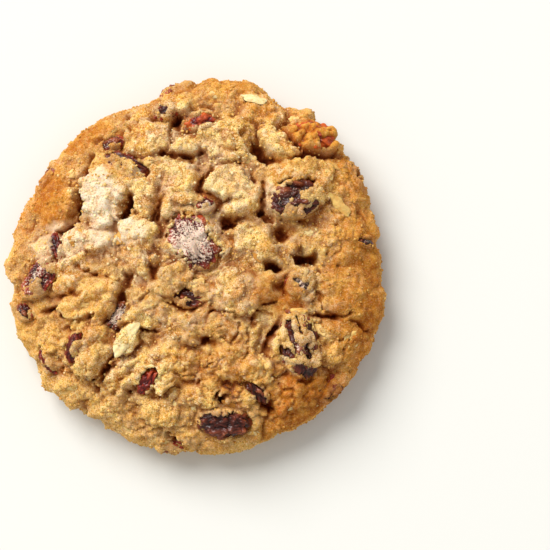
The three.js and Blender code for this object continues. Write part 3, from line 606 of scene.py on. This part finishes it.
def pressPlate(middle, along, across, out, long, wide, lean, proud, creamy, golden):
    # the dough rises to a tilted oval and takes on some of the oat's colour there
    offset = ragged - middle
    u, v = offset @ along, offset @ across
    d = np.sqrt((u / long) ** 2 + (v / wide) ** 2 + ((offset @ out) / coated["tall"]) ** 2)
    near = d < 1
    level = np.median(rise[near]) if near.any() else 0
    plate = level + proud + lean[0] * u[near] + lean[1] * v[near] - coated["rounding"] * d[near] ** 5
    rise[near] = np.maximum(rise[near], np.minimum(plate, rise[near] + coated["cap"]))
    oats[near] = np.maximum(oats[near], creamy * smoothStep(1, 0.6, d[near]))
    toasted[near] = np.maximum(toasted[near], golden * smoothStep(0.9, 0.3, d[near]))


chance = random.Random(dough["seed"])
upper = np.flatnonzero(base[:, 2] > 3.0)
tilt = coated["tilt"]
for _ in range(coated["count"]):
    i = int(upper[chance.randrange(len(upper))])
    across = Vector(normal[i]).cross(Vector([chance.uniform(-1, 1) for _ in range(3)])).normalized()
    along, across = np.array(Vector(normal[i]).cross(across)), np.array(across)
    long = chance.uniform(*coated["long"])
    wide = long * chance.uniform(*coated["wide"])
    lean = [chance.uniform(-tilt, tilt) * (1 - 0.7 * calm[i]) * quiet[i] for _ in range(2)]
    proud = chance.uniform(*coated["proud"]) * (1 - 0.8 * calm[i]) * quiet[i]
    creamy, golden = chance.choice(coated["colours"])
    creamy *= 1 - 0.6 * calm[i]
    pressPlate(ragged[i], along, across, normal[i], long, wide, lean, proud, creamy, golden)
for x, y, long, wide, turn, tone, proud in namedFlakes:
    at, out = topPoint(x, y)
    along, across, out, at = seat(at, out, turn, 0)
    pressPlate(at, along, across, out, long, wide, (0, 0), proud, *namedColours[tone])

for x, y, long, wide, turn, depth in pits:
    z = topPoint(x, y)[0][2]
    d = reach(ragged, x, y, z, (long, wide), lumpTall * (long + wide), turn)
    rise -= np.where(d < 1, depth * np.maximum(0, 1 - d * d) ** 1.5, 0)

# Low ground between the lumps, with the greyer spots; the colour paints it darker as shade.
valley = facing * np.maximum(smoothStep(1.6, 0.2, rise), spots(ragged, duskSpots))

print("crumbling the crust")
clumps = np.abs(cloud(base, bumps["clump"], 5.2, 2))
grain = cloud(base, bumps["sand"], 1.7, 2)
crag = rises["fold"] * ripple(base, bumps["fold"], 4.1)
crag += quiet * (1 - 0.7 * calm) * rises["clump"] * (clumps - 0.22)
near, edge, odds = cells(ragged, bumps["knob"], 1.6)
knobs = (0.25 + 0.9 * odds) * smoothStep(0.7, 0.1, near) - 0.35 - 0.35 * smoothStep(0.1, 0.0, edge)
crag += rises["knob"] * quiet * (1 - 0.85 * calm) * knobs
near, _, odds = cells(ragged, bumps["nub"], 5.5)
nubs = smoothStep(0.65, 0.15, near) - 0.4
crag += (1 - 0.7 * calm) * (0.5 + 0.5 * quiet) * (0.05 + 0.2 * odds) * nubs
crag += rises["chip"] * (1 - 0.5 * calm) * (np.abs(cloud(base, bumps["chip"], 7.7, 2)) - 0.25)
shards = np.abs(cloud(base, bumps["shard"], 6.1, 2)) - 0.35
crag += rises["shard"] * caramel * shards  # shards of boiled juice
crag *= 1 + 0.5 * facing * smoothStep(-10, -24, base[:, 1])  # craggier towards -Y
near, _, odds = cells(base, bumps["grain"], 3.3)
crag += rises["grain"] * smoothStep(0.6, 0.1, near) * (0.4 + odds)
for size, shift, chanceOfPore, depth in pores:
    near, _, odds = cells(base, size, shift)
    crag -= np.where(odds < chanceOfPore, depth * smoothStep(0.3, 0.05, near) * (1 - 0.8 * paleSpread), 0)

# Tears and cracks waver, and open and close along their length.
tears = {"jitter": 0.5, "jitterSize": 1.2, "waver": 0.8, "waverSize": 3.0, "gape": 0.5, "gapeSize": 1.9}
seatDepth = {"top": 1.4, "side": 0.8}  # how far the dough is cut below a bare skin
seatEdge = {"top": 1.0, "side": 0.5}  # and how much less at the raisin's edge
wavering = (base[:, :2] + tears["jitter"] * drift(base, tears["jitterSize"], 6.6)[:, :2]
            + tears["waver"] * drift(base, tears["waverSize"], 2.2)[:, :2])
gape = 1 + tears["gape"] * cloud(base, tears["gapeSize"], 8.8, 2)
bare = np.zeros(len(base))
for line, half in bareStrokes:
    away = alongLine(wavering, line)
    bare = np.maximum(bare, smoothStep(1.25, 0.75, away / half + 0.35 * grain))
bare *= facing
covers = np.full(len(base), -9.0)
floorOf = np.full(len(base), 9.0)
skinned = np.zeros(len(base))
seats = raisinSeats()
for number, (x, y, z, middle, half, lift, *_) in enumerate(seats):
    offset = base - (middle - lift * z)
    u, v, w = offset @ x / half[0], offset @ y / half[1], offset @ z
    r = np.sqrt(u * u + v * v)
    near = (r < 1.15) & (np.abs(w) < 4)
    part = "side" if number >= len(raisins) else "top"
    if part == "side":  # these lie open below, under a ragged lip of dough
        torn = smoothStep(0.85, 0.65, r[near] + 0.8 * clumps[near] + 0.15 * grain[near])
        lip = v[near] + 0.5 * math.sin(2.1 * number) * u[near] + 0.9 * clumps[near]
        bare[near] = np.maximum(bare[near], torn * smoothStep(0.4, 0.1, lip))
    crown = lift + half[2] * np.sqrt(np.maximum(0, 1 - r[near] ** 2))
    cover = lift + half[2] * np.sqrt(np.maximum(0, 1 - (0.9 * r[near]) ** 2)) + 0.5 * clumps[near]
    covers[near] = np.maximum(covers[near], cover + 0.1 - 1.6 * smoothStep(0.9, 1.15, r[near]))
    floorOf[near] = crown - seatDepth[part] + seatEdge[part] * smoothStep(0.75, 1.0, r[near])
    skinned[near] = np.maximum(skinned[near], smoothStep(1, 0.8, r[near]))
rise = np.where(covers > -5, softer(rise, covers, 1.2), rise) + crag
for line, half, depth in cracks:
    away = alongLine(wavering, line)
    rise -= facing * 0.75 * depth * np.maximum(0, 1 - (away / (1.2 * half * gape)) ** 2) ** 0.8
rise += bare * (np.minimum(rise, floorOf) - rise)
skinned *= 1 - bare
rise += rises["sand"] * grain + rises["speck"] * cloud(base, bumps["speck"], 2.9, 1)

# How deep each point lies among its neighbours; the dough's colour is painted darker at the deeper points
# as shade.
broad = evened(rise, 120)
rise += dough["drawnOut"] * np.clip(rise - broad, -0.9, 0.4)  # crags drawn out a little further
fine = evened(rise, 8)
nook = np.clip(0.5 + 1.5 * (fine - rise), 0, 1)
dent = np.clip(0.5 + 0.8 * (evened(fine, 30) - rise), 0, 1)
hollow = np.clip(0.3 + 0.4 * (broad - rise), 0, 1)

print("shaping", len(base), "points")
places = base + normal * (settled * rise)[:, None]
movePoints(bm, places)
bm.normal_update()
# Lumps swell over the valleys beside them.
swell = dough["swell"] * np.clip(rise - broad, 0, 1.5)
places += np.array([v.normal for v in bm.verts]) * (settled * swell)[:, None]
places[:, 2] = np.maximum(places[:, 2], 0)
under = smoothStep(1.2, 0.1, base[:, 2])
places[:, 2] += under * np.maximum(0, 0.35 * clumps - 0.08) * smoothStep(0.0, 0.05, clumps)
movePoints(bm, places)
bm.normal_update()
skin = {"at": places.copy(), "out": np.array([v.normal for v in bm.verts])}
# Browner low on the side: a darker baked underside, and partly painted shade along the lower edge.
lowBrown = smoothStep(10.5, 3.0, base[:, 2])
# Painted light: towards -X and -Y the rim is painted less brown and a brighter gold, as if that side were
# lit; elsewhere it is browner.
litRimSide = smoothStep(-0.3, -0.8, (0.5 * base[:, 0] + 0.87 * base[:, 1]) / dough["roundRadius"])
farSide = smoothStep(0.3, 0.8, base[:, 1] / dough["roundRadius"])
browned = (brownSpread + (0.4 - 0.4 * litRimSide) * smoothStep(0.84, 0.98, share)
           + (0.5 - 0.3 * litRimSide) * lowBrown + 0.4 * under)
browned = np.clip(browned, 0, 1.6)
dent = 0.5 + (dent - 0.5) * (0.4 + 0.6 * settled)
doughMarks = {
    "browned": browned, "pale": paleSpread, "hollow": hollow, "dent": dent, "nook": nook,
    "skinned": skinned, "oats": oats, "toasted": toasted, "caramel": caramel, "valley": valley,
    "outer": smoothStep(0.66, 0.92, share) * (1 - litRimSide) * (1 - 0.7 * farSide),
    "golden": smoothStep(0.66, 0.86, share) * litRimSide,
}
toFrame(bm)


def doughMaterial():
    # Baked oat dough: a matt sandy crumb that scatters a little light, browner where it met the heat, with
    # painted shade in its recesses and painted highlights on what stands out.
    material, tree, place = startMaterial("baked_oat_dough")
    mark = {name: markOf(tree, name) for name in doughMarks}
    blotch = pattern(place, 6, 3, 0.6)
    patch = pattern(place, 2.0, 3, 0.6)
    sand = pattern(place, 0.33, 3, 0.7)

    # painted highlight and shade: paler on what stands out, browner in the recesses between, mixed with
    # patches of random tone
    high = plus(scaled(mark["dent"], 0, 1, 0.9), scaled(patch, 0.3, 0.7, 0.7))
    high = plus(high, scaled(mark["nook"], 0.2, 0.8, 0.2))
    colour = ramp(scaled(high, 0.35, 1.5), [
        (0.0, "#FFE4AA"), (0.2, "#F6C06E"), (0.45, "#D8903A"), (0.72, "#BE7222"), (1.0, "#924D0C")])
    colour = blend(scaled(blotch, 0.6, 0.4, 0.6), colour, "#C28432")
    colour = blend(scaled(pattern(place, 3.7, 2, 0.6), 0.5, 0.62, 0.4), colour, "#D6AE8A")  # floury
    colour = blend(scaled(pattern(place, 2.7, 2, 0.6), 0.53, 0.61, 0.7), colour, "#FFE6B8")

    # oat flakes that show through, some of them toasted
    creamy = times(scaled(mark["oats"], 0, 1, 0.95), scaled(patch, 0.32, 0.54))
    colour = blend(creamy, colour, "#FFE08E")
    toast = times(scaled(mark["toasted"], 0, 1, 0.85), scaled(patch, 0.3, 0.55))
    colour = blend(toast, colour, "#E29C3C")
    colour = blend(scaled(pattern(place, 4.3, 2, 0.6), 0.53, 0.61, 0.65), colour, "#F8CC6A")

    # the outer crust, orange-brown, with a brighter gold of painted light on the -X and -Y side of the rim
    colour = blend(scaled(mark["outer"], 0, 1, 0.65), colour, "#EC9A34")
    colour = blend(scaled(mark["golden"], 0, 1, 0.6), colour, "#FFC560")

    # the browned crust; its darkest stage, where the browning adds up low on the side, underneath and in
    # the strongest brown spots, is partly real crust and partly painted shade
    brown = scaled(plus(mark["browned"], scaled(blotch, 0.75, 0.25, 0.5)), 0.2, 1.15, 0.9)
    uneven = plus(scaled(pattern(place, 2.4, 3, 0.7), 0.64, 0.42, 0.85), 0.15)
    colour = blend(times(brown, uneven), colour, "#C67A18")
    crusty = plus(scaled(pattern(place, 1.3, 3, 0.7), 0.62, 0.4, 0.75), 0.25)
    colour = blend(times(scaled(mark["browned"], 0.6, 1.05, 0.95), crusty), colour, "#AE5E16")
    colour = blend(times(scaled(mark["browned"], 1.05, 1.6, 0.7), crusty), colour, "#90480E")
    golden = plus(scaled(mark["browned"], 1.1, 0.3, 0.65), 0.35)
    golden = times(scaled(pattern(place, 3.1, 3, 0.6), 0.52, 0.62, 0.75), golden)
    colour = blend(golden, colour, "#F0B450")
    paler = times(scaled(mark["pale"], 0.25, 1.1), scaled(patch, 0.75, 0.45))
    colour = blend(paler, colour, "#F6E2C4")

    # dough over raisins, and juice boiled to caramel
    colour = blend(scaled(mark["skinned"], 0.2, 1.0, 0.3), colour, "#A97C55")
    # caramel paler on its ridges and darker in its recesses: painted highlight and shade
    amber = ramp(scaled(high, 0.5, 1.5), [
        (0.0, "#E29E3C"), (0.35, "#CA7218"), (0.7, "#9C440C"), (1.0, "#702608")])
    colour = blend(scaled(mark["caramel"], 0.1, 0.9, 0.9), colour, amber)

    # the sandy crumb, which shows less where the crust has browned
    grit = scaled(mark["browned"], 1.0, 0.0, 0.5)
    darkGrit = plus(grit, scaled(mark["pale"], 1.0, 0.3, 0.4))
    colour = blend(times(scaled(sand, 0.47, 0.37), darkGrit), colour, "#94682C")
    colour = blend(times(scaled(sand, 0.53, 0.62), plus(grit, 0.15)), colour, "#FFECC4")

    # painted shade: greyer in the low ground between lumps, and darker down in the hollows
    shade = times(scaled(mark["valley"], 0, 1, 0.6), scaled(patch, 0.7, 0.4))
    colour = blend(times(shade, scaled(mark["browned"], 0.9, 0.3)), colour, "#A87C58")
    # the hollows multiplied darker: painted shade
    colour = blend(scaled(mark["hollow"], 0.35, 0.8, 0.9), colour, "#C8925A", "MULTIPLY")
    colour = blend(scaled(mark["hollow"], 0.75, 1.0, 0.9), colour, "#8E4A1A", "MULTIPLY")
    surface(tree, {
        "Base Color": colour, "Roughness": scaled(mark["caramel"], 0, 1, 0.25, start=0.8),
        "Normal": bumped(sand, 1.0, 0.35), "Specular IOR Level": 0.06,
        "Subsurface Weight": 0.25, "Subsurface Radius": (1.0, 0.5, 0.2), "Subsurface Scale": 1.6 * mm})
    return material


doughPiece = meshPiece("cookie_dough", bm, doughMaterial(), doughMarks)
thin = doughPiece.modifiers.new("thin", "DECIMATE")
thin.ratio = dough["triangles"] / len(doughPiece.data.polygons)
thinMesh = shownMesh(doughPiece)
doughPiece.modifiers.remove(thin)
doughPiece.data = thinMesh
print("dough triangles", len(thinMesh.polygons))
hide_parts("dough")
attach(doughPiece, "root")


def raisinMaterial():
    # A dried grape: thin wrinkled skin, dark brown-purple or red, painted darker in the creases and lighter
    # on the ridges of its folds, with a painted red glow at its thin edge where light comes through.
    material, tree, place = startMaterial("dried_grape_skin")
    fold, dust, red = (markOf(tree, name) for name in ("fold", "dust", "red"))
    fine = pattern(place, 0.45)
    # darker in the creases of the folds, lighter on their ridges: painted shade and highlight
    dark = ramp(fold, [(0.05, "#1E0804"), (0.4, "#42150A"), (0.75, "#682A16"), (1.0, "#8C4A28")])
    clear = ramp(fold, [(0.05, "#3A0A08"), (0.4, "#701812"), (0.75, "#96301C"), (1.0, "#B04E2C")])
    redness = plus(pattern(place, 2.6), red)
    colour = blend(scaled(redness, 0.75, 1.15), dark, clear)
    colour = blend(scaled(redness, 1.25, 1.55), colour, "#C4581C")
    flour = scaled(plus(fine, dust), 0.96, 1.12, 0.9)
    surface(tree, {
        "Base Color": blend(flour, colour, "#E4CCB6"), "Roughness": scaled(flour, 0, 1, 0.9, start=0.3),
        "Normal": bumped(fine, 0.7, 0.2), "IOR": 1.42, "Specular IOR Level": 0.25,
        "Coat Weight": scaled(flour, 0, 1, 0.0, start=0.3), "Coat Roughness": 0.12,
        "Subsurface Weight": 0.15, "Subsurface Radius": (1.0, 0.2, 0.08), "Subsurface Scale": 0.6 * mm})
    return material


raisinSkin = raisinMaterial()
folds = {
    "levels": 6, "smallLevels": 5, "bigHalf": 3.9, "depth": 0.42, "along": 0.5, "apart": 0.45,
    "wander": 0.5, "wanderSize": 2.2, "wrinkle": 0.1, "wrinkleSize": 0.7, "bend": 0.12, "bendSize": 3.2,
}
print("drying the raisins")
for number, (x, y, z, middle, half, _, dust, red) in enumerate(seats):
    bm = ballOf(folds["levels"] if half[0] > folds["bigHalf"] else folds["smallLevels"])
    ball = pointsOf(bm)
    body = ball * half
    grooved = body * (folds["along"], 1, 1) + folds["wander"] * drift(body, folds["wanderSize"], number)
    size = folds["apart"] * half[1] + 0.4
    pleat = np.abs(cloud(grooved, size, 3.1 * number, 1))
    pleat += 0.5 * np.abs(cloud(grooved, 0.45 * size, 5.7 * number, 2))
    body += ball * (folds["depth"] * half[2] * (1.5 * pleat - 0.75))[:, None]
    body += ball * (folds["wrinkle"] * cloud(body, folds["wrinkleSize"], 4.4 + number, 2))[:, None]
    body += folds["bend"] * half[1] * drift(body, folds["bendSize"], 8.0 + number)
    places = middle + body @ np.array([x, y, z])
    movePoints(bm, places)
    toFrame(bm)
    rim = 1 - ball[:, 2] ** 2  # the flour thins out towards the skin's edge
    floury = dust * (1.25 - 0.6 * rim) + 0.15 * cloud(body, 1.6, 2.0 + number)
    name = f"raisin_{number + 1:02d}"
    # red: the raisin's own redness, and towards the thin edge a painted glow of light coming through
    marks = {"fold": np.clip(1.3 * pleat, 0, 1), "dust": floury, "red": red + 0.3 * (rim ** 2 - 0.4)}
    raisin = meshPiece(f"dried_{name}", bm, raisinSkin, marks)
    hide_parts(name)
    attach(raisin, "root")


def scattered(name, bm, count, material, placeOne):
    # an array of one shape, each copy then put where placeOne says, with its colour mark
    template = meshPiece(name, bm, material)
    array = template.modifiers.new("copies", "ARRAY")
    array.count = count
    mesh = shownMesh(template)
    shape = cornersOf(template.data)
    template.modifiers.remove(array)
    placed = [placeOne(i, shape) for i in range(count)]
    points = np.concatenate([p for p, _ in placed])
    mesh.vertices.foreach_set("co", ((points + np.array(roundMiddle)) * mm).ravel())
    tone = np.repeat([tone for _, tone in placed], len(shape)).astype(np.float32)
    mesh.attributes.new("tone", "FLOAT", "POINT").data.foreach_set("value", tone)
    mesh.update()
    template.data = mesh
    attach(template, "root")


def cornersOf(mesh):
    flat = np.empty(3 * len(mesh.vertices))
    mesh.vertices.foreach_get("co", flat)
    return flat.reshape(-1, 3)


def oatMaterial(name, stops, rough):
    # Dry oat: matt, toasted in patches and dulled by bran here and there.
    material, tree, place = startMaterial(name)
    tone = markOf(tree, "tone")
    fine = pattern(place, 0.6, 3)
    toasted = times(scaled(pattern(place, 1.6), 0.42, 0.66, 0.8), scaled(tone, 0.3, 1.0, 0.3, start=1.0))
    colour = blend(toasted, ramp(tone, stops), "#C48636")
    colour = blend(scaled(fine, 0.5, 0.3, 0.4), colour, "#B07C3C")
    surface(tree, {
        "Base Color": colour, "Roughness": rough, "Normal": bumped(fine, 0.8, 0.2),
        "Specular IOR Level": 0.1,
        "Subsurface Weight": 0.3, "Subsurface Radius": (1.0, 0.6, 0.25), "Subsurface Scale": 1.0 * mm})
    return material


print("pressing oat flakes in")
flakes = {
    "count": 80, "long": (0.8, 1.7), "wide": (0.5, 0.8), "thick": 0.3, "proud": (-0.45, -0.2), "seed": 11,
    "tones": (0.2, 0.5, 0.66, 0.75, 0.9), "lobes": 0.16, "nicks": 0.1, "curl": 0.12, "cup": 0.1,
    "crease": 0.18, "creaseWide": 0.13, "warp": 0.16, "warpSize": 0.9,
}
tones = {"brown": 0.0, "orange": 0.33, "gold": 0.66, "pale": 1.0}
oat = oatMaterial("rolled_oat", [
    (0.0, "#B47A36"), (0.33, "#C98F46"), (0.66, "#E4BC70"), (1.0, "#EED9A2")], 0.7)
flakeDraw = random.Random(flakes["seed"])
topSpots = np.flatnonzero((base[:, 2] > 7) & (facing > 0.6) & (bare < 0.1))
flakeRows = []
for x, y, long, wide, turn, tone, proud in namedFlakes:
    if tone != "orange" and proud > 0.15 and wide < 2.5:  # the others stay part of the dough
        flakeRows.append((x, y, 0.9 * long, 0.85 * wide, turn, tones[tone], proud - 0.3))
wanted = len(flakeRows) + flakes["count"]
while len(flakeRows) < wanted:
    i = topSpots[flakeDraw.randrange(len(topSpots))]
    long = flakeDraw.uniform(*flakes["long"])
    row = (*skin["at"][i, :2], long, long * flakeDraw.uniform(*flakes["wide"]), flakeDraw.uniform(0, 180),
           flakeDraw.choice(flakes["tones"]), flakeDraw.uniform(*flakes["proud"]))
    if hollow[i] < 0.6 and skinned[i] < 0.5:
        flakeRows.append(row)


def layFlake(i, shape):
    # a curled flake, laid to the slope of the dough under it
    x, y, long, wide, turn, tone, proud = flakeRows[i]
    gap = np.hypot(skin["at"][:, 0] - x, skin["at"][:, 1] - y)
    near = (gap < max(0.6, 0.7 * long)) & (skin["out"][:, 2] > 0)
    out = skin["out"][near].mean(0)
    out /= np.linalg.norm(out)
    middle = skin["at"][near].mean(0)
    level = np.percentile((skin["at"][near] - middle) @ out, 70)
    heading = np.array([math.cos(math.radians(turn)), math.sin(math.radians(turn)), 0])
    side = np.cross(out, heading)
    side /= np.linalg.norm(side)
    u, v, w = shape[:, 0], shape[:, 1], shape[:, 2]
    around = np.arctan2(v, u)
    edge = 1 + flakes["lobes"] * np.sin(2 * around + i) + flakes["nicks"] * np.sin(5 * around + 2.3 * i)
    bend = flakes["curl"] * long * (u * u - 0.4) * math.sin(1.7 * i) - flakes["cup"] * long * v * v
    crease = -flakes["crease"] * np.exp(-(v / flakes["creaseWide"]) ** 2) * (w > 0)
    body = np.stack([u * edge * long, v * edge * wide, w * flakes["thick"] + bend + crease], 1)
    body += flakes["warp"] * drift(body, flakes["warpSize"], 3.7 * i)
    return middle + (level + proud) * out + body @ np.array([np.cross(side, out), side, out]), tone


scattered("oat_flakes", ballOf(4), len(flakeRows), oat, layFlake)

print("strewing crumbs")
crumbs = {
    "count": 4800, "radius": (0.15, 0.4), "fewBig": 2.2, "uneven": (0.7, 1.3), "sunk": 0.45, "seed": 23,
}
crumbDraw = random.Random(crumbs["seed"])
crumbSpots = np.flatnonzero((base[:, 2] > 2.0) & (bare < 0.05) & (browned < 1.1) & (hollow < 0.8))
crumb = oatMaterial("crumbs", [
    (0.0, "#A66A28"), (0.4, "#D2A052"), (0.8, "#E8C07A"), (1.0, "#F4DEB0")], 0.8)


def layCrumb(i, shape):
    spot = crumbSpots[crumbDraw.randrange(len(crumbSpots))]
    least, most = crumbs["radius"]
    radius = least + (most - least) * crumbDraw.random() ** crumbs["fewBig"]
    size = [radius * crumbDraw.uniform(*crumbs["uneven"]) for _ in range(3)]
    angle = crumbDraw.uniform(0, 6.28)
    turned = Matrix.Rotation(angle, 3, Vector([crumbDraw.uniform(-1, 1) for _ in range(3)]))
    at = skin["at"][spot] + skin["out"][spot] * radius * (1 - 2 * crumbs["sunk"])
    tone = np.clip(crumbDraw.gauss(0.65, 0.2) + 0.35 * paleSpread[spot] - 0.5 * browned[spot], 0, 1)
    return at + shape * size @ np.array(turned), tone


scattered("crumbs", ballOf(1), crumbs["count"], crumb, layCrumb)

# Floor, light and camera.
studio = {
    "floor": 4.0, "below": -0.0001, "fill": 0.62,
    "toLight": (-0.5, 0.62, 0.8), "lightAway": 3.0, "lightSize": 2.1, "lightPower": 115,
    "lens": 120.0, "away": 0.425, "elevation": 86.0, "aim": (19.4, -2.4, 12.0),
}

paper = bpy.data.materials.new("white_paper")
paper.use_nodes = True
paperInputs = paper.node_tree.nodes["Principled BSDF"].inputs
paperInputs["Base Color"].default_value = linear("#E0E0DB")
paperInputs["Roughness"].default_value = 0.9
bm = bmesh.new()
bmesh.ops.create_grid(bm, x_segments=1, y_segments=1, size=studio["floor"] / 2)
floor = meshPiece("floor", bm, paper)
floor.location.z = studio["below"]

world = bpy.data.worlds.new("studio")
bpy.context.scene.world = world
world.use_nodes = True
skyInputs = world.node_tree.nodes["Background"].inputs
skyInputs["Color"].default_value = linear("#F4F4F2")
skyInputs["Strength"].default_value = studio["fill"]

key = bpy.data.objects.new("key", bpy.data.lights.new("key", "AREA"))
key.data.shape = "DISK"
key.data.size = studio["lightSize"]
key.data.energy = studio["lightPower"]
key.data.color = (1.0, 0.98, 0.96)
bpy.context.scene.collection.objects.link(key)
toLight = Vector(studio["toLight"]).normalized()
key.location = toLight * studio["lightAway"]
key.rotation_euler = (-toLight).to_track_quat("-Z", "Y").to_euler()

camera = bpy.data.objects.new("camera", bpy.data.cameras.new("camera"))
bpy.context.scene.collection.objects.link(camera)
bpy.context.scene.camera = camera
camera.data.sensor_width = 36
camera.data.lens = studio["lens"]
up = math.radians(studio["elevation"])
aim = Vector(studio["aim"]) * mm
camera.location = aim + studio["away"] * Vector((0, -math.cos(up), math.sin(up)))
camera.rotation_euler = (math.pi / 2 - up, 0, 0)
camera.data.clip_start = 0.01
bpy.context.scene.view_settings.view_transform = "Standard"

bpy.context.view_layer.update()
